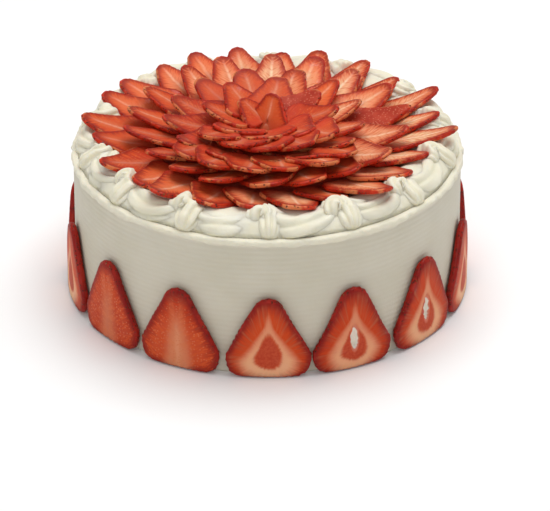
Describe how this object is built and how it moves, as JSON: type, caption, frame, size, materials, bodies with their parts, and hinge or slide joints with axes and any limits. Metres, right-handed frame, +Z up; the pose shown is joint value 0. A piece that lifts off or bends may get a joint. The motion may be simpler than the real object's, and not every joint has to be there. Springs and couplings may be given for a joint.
{
  "type": "strawberry shortcake",
  "caption": "Whole round cream-covered cake with piped swags and heads of cream round its top edge, a flower of sliced strawberries on top and slices standing round its foot.",
  "frame": {"origin": "centre of the flat underside of the cake, where it rests", "axes": "+Z up through the middle of the cake, -Y towards the side the picture shows as the front, +X to the right of it"},
  "size_m": [0.2194, 0.2195, 0.1087],
  "materials": {
    "smooth_cream": "soft matte",
    "piped_cream": "soft satin",
    "strawberry": "wet cut fruit"
  },
  "bodies": {
    "root": {"cake_body": "smooth_cream", "cream_border": "piped_cream", "flower_heart": "strawberry", "flower_ring_3": "strawberry", "inner_slice_01": "strawberry", "inner_slice_02": "strawberry", "inner_slice_03": "strawberry", "inner_slice_04": "strawberry", "inner_slice_05": "strawberry", "inner_slice_06": "strawberry", "inner_slice_07": "strawberry", "inner_slice_08": "strawberry", "inner_slice_09": "strawberry", "inner_slice_10": "strawberry", "inner_slice_11": "strawberry", "inner_slice_12": "strawberry", "inner_slice_13": "strawberry", "inner_slice_14": "strawberry", "inner_slice_15": "strawberry", "inner_slice_16": "strawberry", "inner_slice_17": "strawberry", "inner_slice_18": "strawberry", "outer_slice_01": "strawberry", "outer_slice_02": "strawberry", "outer_slice_03": "strawberry", "outer_slice_04": "strawberry", "outer_slice_05": "strawberry", "outer_slice_06": "strawberry", "outer_slice_07": "strawberry", "outer_slice_08": "strawberry", "outer_slice_09": "strawberry", "outer_slice_10": "strawberry", "outer_slice_11": "strawberry", "outer_slice_12": "strawberry", "outer_slice_13": "strawberry", "outer_slice_14": "strawberry", "outer_slice_15": "strawberry", "outer_slice_16": "strawberry", "outer_slice_17": "strawberry", "outer_slice_18": "strawberry", "outer_slice_19": "strawberry", "outer_slice_20": "strawberry", "outer_slice_21": "strawberry", "outer_slice_22": "strawberry", "outer_slice_23": "strawberry", "outer_slice_24": "strawberry", "side_slice_01": "strawberry", "side_slice_02": "strawberry", "side_slice_03": "strawberry", "side_slice_04": "strawberry", "side_slice_05": "strawberry", "side_slice_06": "strawberry", "side_slice_07": "strawberry", "side_slice_08": "strawberry", "side_slice_09": "strawberry", "side_slice_10": "strawberry", "side_slice_11": "strawberry", "side_slice_12": "strawberry", "side_slice_13": "strawberry", "side_slice_14": "strawberry"}
  },
  "joints": []
}
